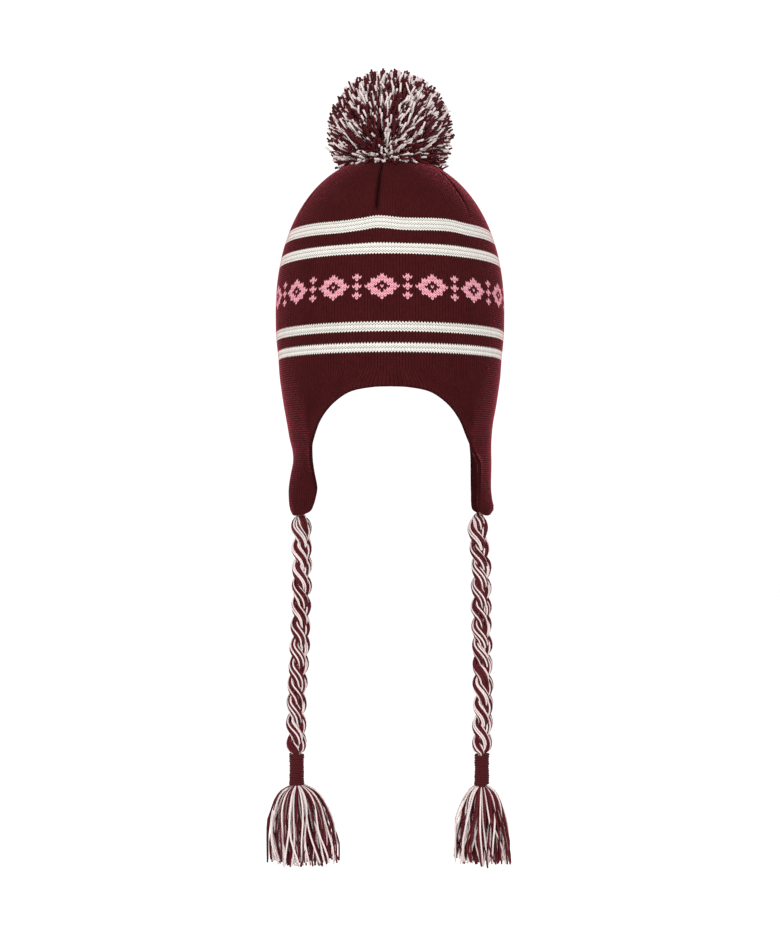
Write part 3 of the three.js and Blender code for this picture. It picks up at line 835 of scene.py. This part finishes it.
def cloth_points():
    """Points, wale and course numbers of the whole grid, as arrays of rows by columns."""
    rows, level, run = cloth_rows()
    columns = 2 * WALES
    number = np.arange(columns + 1)
    turn = 360 * number / columns - 180
    middle = number % 2  # 1 in the middle of a wale, 0 in the groove between two
    edge_turn, edge_z = edge_places(turn)
    lean = (edge_turn - turn + 180) % 360 - 180
    # The outer and inner faces stop a little short of the edge, where the roll begins
    face = 1 - ROLL / (SKEW_LEVEL - edge_z)
    total = run[-1]
    ribs = WALE_RISE * middle - WALE_SINK * (1 - middle)
    points = []
    courses = []
    for kind, where in rows:
        if kind == "crown":
            fade = 1 if where < total - CAP_REACH + 1 else 0
            from_top = total - where + LEG_SLANT * COURSE * middle * fade
            z = np.interp(from_top, run, level)
            low, full, still_full, high = SAG_LEVELS
            here = smoothstep(z, low, full) * (1 - smoothstep(z, still_full, high))
            z = z - smooth_read(SAG, turn, 1) * here
            courses.append(-where / COURSE + 0 * turn)
            points.append(surface(turn, z) + outward(turn, z) * (ribs * fade)[:, None])
        elif kind == "flap":
            share = where * face
            z = SKEW_LEVEL + (edge_z - SKEW_LEVEL) * share - LEG_SLANT * COURSE * middle * (1 - where)
            at = turn + lean * (share * share * (3 - 2 * share))
            courses.append((SKEW_LEVEL - z) / COURSE - LEG_SLANT * middle)
            points.append(surface(at, z) + outward(at, z) * (ribs * (1 - where ** 6))[:, None])
            if where == 1:
                hem_z, hem_turn = edge_z, turn + lean
                back = points[-1] - surface(hem_turn, hem_z)
                back /= np.linalg.norm(back, axis=1, keepdims=True)
        elif kind == "edge":
            sunk = surface(hem_turn, hem_z) - outward(hem_turn, hem_z) * CLOTH_THICKNESS * where
            points.append(sunk + back * ROLL * (1 - math.sin(math.pi * where)))
            courses.append((SKEW_LEVEL - hem_z) / COURSE + 2 * where - LEG_SLANT * middle)
        elif kind == "inner flap":
            share = where * face
            z = SKEW_LEVEL + (edge_z - SKEW_LEVEL) * share
            at = turn + lean * (share * share * (3 - 2 * share))
            points.append(surface(at, z) - outward(at, z) * CLOTH_THICKNESS)
            courses.append((SKEW_LEVEL - z) / COURSE - LEG_SLANT * middle)
        else:
            z = where + 0 * turn
            sunk = surface(turn, z) - outward(turn, z) * CLOTH_THICKNESS
            if where == CROWN_HEIGHT:
                sunk = np.tile([0.0, 0.0, CROWN_HEIGHT - CLOTH_THICKNESS], (len(turn), 1))
            points.append(sunk)
            from_top = np.interp(-where, -level, run)
            courses.append((from_top - total) / COURSE - LEG_SLANT * middle)
    return rows, np.array(points), number / 2, np.array(courses)


def build_cloth():
    rows, points, wales, courses = cloth_points()
    level, run = dome_run()
    columns = 2 * WALES
    band_start = round((run[-1] - np.interp(-BAND_FOOT, -level, run)) / COURSE)
    # The fold at the bottom of a dart lies in shade, and so does the rolled edge. That shade is painted
    # into the yarn colour
    turns = 180 * wales[None, :] / (WALES / 2) - 180
    fold = np.clip(dart_fold(turns, points[..., 2], DART_SHADE_FULL) / DART_DEPTH, 0, 1)
    painted_shade = 1 - FOLD_SHADE * fold ** 0.7
    stand_out = np.ones(painted_shade.shape)
    for row, (kind, where) in enumerate(rows):
        if kind == "edge":
            painted_shade[row] *= HEM_SHADE
        if kind == "edge" or (kind == "flap" and where > 0.98):
            stand_out[row] = HEM_STITCHES
    bm = bmesh.new()
    bmesh.ops.create_grid(bm, x_segments=columns, y_segments=len(rows) - 1, size=1)
    stitches = bm.loops.layers.uv.new("stitches")
    tint = bm.loops.layers.float_color.new("yarn_colour")
    bm.verts.ensure_lookup_table()
    place_of = {}
    for vert in bm.verts:
        row = round((vert.co.y + 1) / 2 * (len(rows) - 1))
        column = round((vert.co.x + 1) / 2 * columns)
        place_of[vert.index] = (row, column)
        vert.co = points[row, column] * MM
    for face in bm.faces:
        face.smooth = True
        places = [place_of[loop.vert.index] for loop in face.loops]
        row = min(place[0] for place in places)
        column = min(place[1] for place in places)
        kind, where = rows[row]
        colour = BURGUNDY
        if kind == "crown" and row >= CAP_ROWS:
            height = round(where / COURSE)
            z = np.interp(run[-1] - where + COURSE / 2, run, level)
            colour = yarn_at(column // 2, z, height - 1 - band_start)
        elif kind == "inner crown" and rows[row + 1:]:
            middle_level = (where + rows[row + 1][1]) / 2
            if in_stripe(middle_level):
                colour = OFF_WHITE
            elif INNER_BAND[0] < middle_level < INNER_BAND[1] and column % 4 < 2:
                colour = PINK
        for loop, (r, c) in zip(face.loops, places):
            loop[stitches].uv = (wales[c], courses[r, c])
            # Painted shade of the dart's fold and the rolled edge, taken into the yarn colour
            shade = painted_shade[r, c]
            loop[tint] = [colour[0] * shade, colour[1] * shade, colour[2] * shade, stand_out[r, c]]
    bmesh.ops.remove_doubles(bm, verts=bm.verts, dist=2e-6)
    bmesh.ops.recalc_face_normals(bm, faces=bm.faces)
    mesh = bpy.data.meshes.new("knit_cloth")
    bm.to_mesh(mesh)
    bm.free()
    finished("knit_cloth", mesh, acrylic_knit(), "knit_body")


# Stage and light


def build_stage():
    """A plain pale floor under the hanging hat."""
    bm = bmesh.new()
    bmesh.ops.create_circle(bm, cap_ends=True, segments=64, radius=9)
    bmesh.ops.translate(bm, verts=bm.verts, vec=(0, 0, -0.8))
    mesh = bpy.data.meshes.new("floor")
    bm.to_mesh(mesh)
    bm.free()
    material, tree = new_material("matt_white_paper")
    paper = {"Base Color": linear("#f6f6f5"), "Roughness": 0.9}
    add_node(tree, "OutputMaterial", add_node(tree, "BsdfPrincipled", named=paper))
    mesh.materials.append(material)
    floor = bpy.data.objects.new("floor", mesh)
    bpy.context.scene.collection.objects.link(floor)


def soft_light(name, place, size, power):
    """A square soft box that shines at the hat."""
    lamp = bpy.data.lights.new(name, "AREA")
    lamp.size = size
    lamp.energy = power
    box = bpy.data.objects.new(name, lamp)
    box.location = place
    aim = -np.array(place) + np.array([0, 0, -0.02])
    flat = math.hypot(aim[0], aim[1])
    box.rotation_euler = (math.atan2(flat, -aim[2]), 0, math.atan2(-aim[0], aim[1]))
    bpy.context.scene.collection.objects.link(box)


def set_up_light():
    world = bpy.data.worlds.new("studio")
    bpy.context.scene.world = world
    world.use_nodes = True
    world.node_tree.nodes["Background"].inputs[0].default_value = (1, 1, 1, 1)
    world.node_tree.nodes["Background"].inputs[1].default_value = 1.1
    soft_light("soft_box_front_left", (-1.1, -1.7, 1.1), 1.2, 22)
    soft_light("soft_box_front_right", (1.3, -1.6, 0.7), 1.2, 12)
    soft_light("soft_box_back", (0.3, 1.9, 1.3), 1.2, 14)
    bpy.context.scene.view_settings.view_transform = "Standard"
    bpy.context.scene.view_settings.look = "None"
    # Keeps single stitches, which are two or three pixels wide, when the picture is cleaned of noise
    bpy.context.scene.cycles.denoising_prefilter = "NONE"


set_up_camera()
PLAIT_YARN = acrylic_yarn("acrylic_plaited_yarn", 0.7)
WRAP_YARN = acrylic_yarn("acrylic_wound_yarn", 0.8)
TASSEL_YARN = acrylic_yarn("acrylic_tassel_yarn", 0.7)
POMPOM_YARN = acrylic_yarn("acrylic_cut_yarn", 0.7)
build_tie("left", -90, LEFT_ROUTE, 29.0, 5.4, math.radians(56), 3)
build_tie("right", 90, RIGHT_ROUTE, 22.5, 0.6, math.radians(48), 5)
build_pompom()
build_cloth()
build_stage()
set_up_light()
